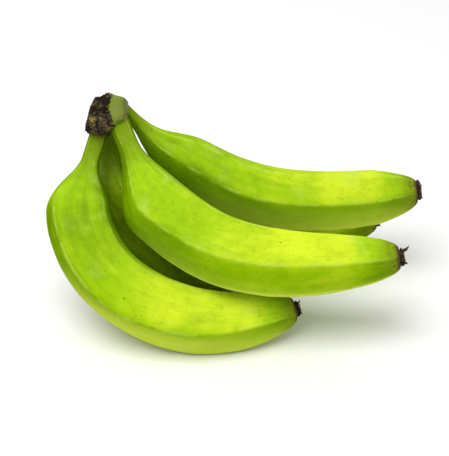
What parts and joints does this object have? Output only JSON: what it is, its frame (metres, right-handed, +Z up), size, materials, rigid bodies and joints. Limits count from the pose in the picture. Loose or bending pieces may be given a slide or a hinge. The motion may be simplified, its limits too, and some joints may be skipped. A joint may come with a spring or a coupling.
{
  "type": "plantain",
  "caption": "Hand of curved green plantains joined at a dark cut crown, with blunt dried flower ends, lying on its side.",
  "frame": {"origin": "centre of the bounding box at the surface that the hand lies on", "axes": "+X from the crown towards the tips, +Z up, and +Y from the front finger towards the back finger"},
  "size_m": [0.2715, 0.1479, 0.1588],
  "materials": {
    "skin": "smooth waxy green peel with paler ridges",
    "crown": "rough dark dried cut tissue",
    "dried_tip": "rough dark dried flower end"
  },
  "bodies": {
    "root": {"finger_front": "skin", "finger_middle": "skin", "finger_back": "skin", "finger_under": "skin", "crown": "crown", "tip_front": "dried_tip", "tip_middle": "dried_tip", "tip_back": "dried_tip", "tip_under": "dried_tip"}
  },
  "joints": []
}
